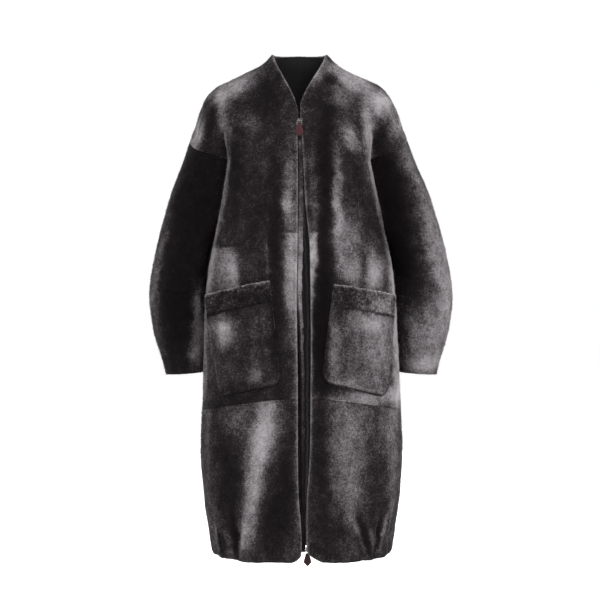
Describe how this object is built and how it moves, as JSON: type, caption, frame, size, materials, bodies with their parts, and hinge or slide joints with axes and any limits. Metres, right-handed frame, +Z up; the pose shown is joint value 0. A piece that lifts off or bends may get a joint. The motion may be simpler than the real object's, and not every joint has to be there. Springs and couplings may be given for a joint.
{
  "type": "shearling coat",
  "caption": "Knee-length sheared shearling coat with a V neck, dropped full sleeves, slanted patch pockets, a drawn-in hem and a two-way zip, hollow as it is worn.",
  "frame": {"origin": "inside the neck, at the height of the side of the neckline less 47 mm, where a wearer's shoulders carry the coat", "axes": "+Z up, -Y out of the coat's front, +X to the wearer's left"},
  "size_m": [0.684, 0.3128, 1.1325],
  "materials": {
    "dark_pile": "sheared wool pile on hide, near black, matt with a soft grey sheen",
    "grey_pile": "sheared wool pile on hide, charcoal grey, matt with a soft grey sheen",
    "band_pile": "longer curled wool pile along the pocket mouths, charcoal",
    "zip_tape": "black woven zip tape",
    "zip_metal": "dark nickel zip chain, sliders and links",
    "pull_leather": "burgundy brown leather with a stitched edge"
  },
  "bodies": {
    "coat": {"front_left": "dark_pile", "front_right": "dark_pile", "front_skirt_left": "grey_pile", "front_skirt_right": "grey_pile", "back": "dark_pile", "back_skirt": "grey_pile", "sleeve_left": "dark_pile", "sleeve_right": "dark_pile", "sleeve_lower_left": "grey_pile", "sleeve_lower_right": "grey_pile", "pocket_left": "grey_pile", "pocket_right": "grey_pile", "pocket_band_left": "band_pile", "pocket_band_right": "band_pile", "zip_strip": "dark_pile", "zip_tape_left": "zip_tape", "zip_tape_right": "zip_tape", "zip_chain": "zip_metal", "slider_top": "zip_metal", "slider_bottom": "zip_metal"},
    "top_pull": {"link_top": "zip_metal", "tab_top": "pull_leather"},
    "bottom_pull": {"link_bottom": "zip_metal", "tab_bottom": "pull_leather"}
  },
  "joints": [
    {"name": "top_pull_swing", "type": "hinge", "parent": "coat", "child": "top_pull", "pos_m": [-0.00487, -0.11067, -0.1145], "axis": [-1, 0, 0], "range_deg": [0, 150]},
    {"name": "bottom_pull_swing", "type": "hinge", "parent": "coat", "child": "bottom_pull", "pos_m": [0.01283, -0.15096, -1.0445], "axis": [1, 0, 0], "range_deg": [0, 28]}
  ]
}
